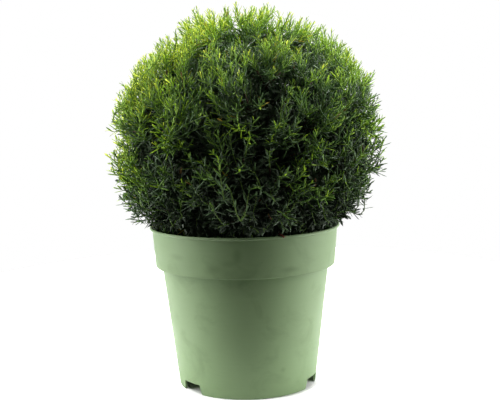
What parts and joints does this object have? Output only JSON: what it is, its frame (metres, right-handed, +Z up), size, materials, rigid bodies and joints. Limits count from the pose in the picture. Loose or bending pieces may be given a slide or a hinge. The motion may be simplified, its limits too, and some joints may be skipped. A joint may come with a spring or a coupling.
{
  "type": "potted topiary ball",
  "caption": "Potted English yew clipped to a dense ball of short shoots on a hidden trunk and boughs, in a round nursery pot with a deep band.",
  "frame": {"origin": "on the surface it stands on, under the centre of the ball; the pot's axis is 6.3 mm to its left", "axes": "+Z up, parallel to the pot's axis, -Y towards the viewer of the picture, +X to the viewer's right"},
  "size_m": [0.4054, 0.4148, 0.5537],
  "materials": {
    "pot_plastic": "matt sage-green moulded plastic",
    "compost_peat": "dark crumbly peat compost",
    "bark": "reddish-brown flaking bark",
    "needles": "dark green needles, yellow-green at the tips"
  },
  "bodies": {
    "root": {"pot": "pot_plastic", "compost": "compost_peat", "trunk": "bark", "bough_upper_1": "bark", "bough_upper_2": "bark", "bough_upper_3": "bark", "bough_upper_4": "bark", "bough_upper_5": "bark", "bough_lower_1": "bark", "bough_lower_2": "bark", "bough_lower_3": "bark", "bough_lower_4": "bark", "bough_lower_5": "bark", "bough_lower_6": "bark", "mass_top": "needles", "mass_upper_1": "needles", "mass_upper_2": "needles", "mass_upper_3": "needles", "mass_upper_4": "needles", "mass_upper_5": "needles", "mass_lower_1": "needles", "mass_lower_2": "needles", "mass_lower_3": "needles", "mass_lower_4": "needles", "mass_lower_5": "needles", "mass_lower_6": "needles"}
  },
  "joints": []
}
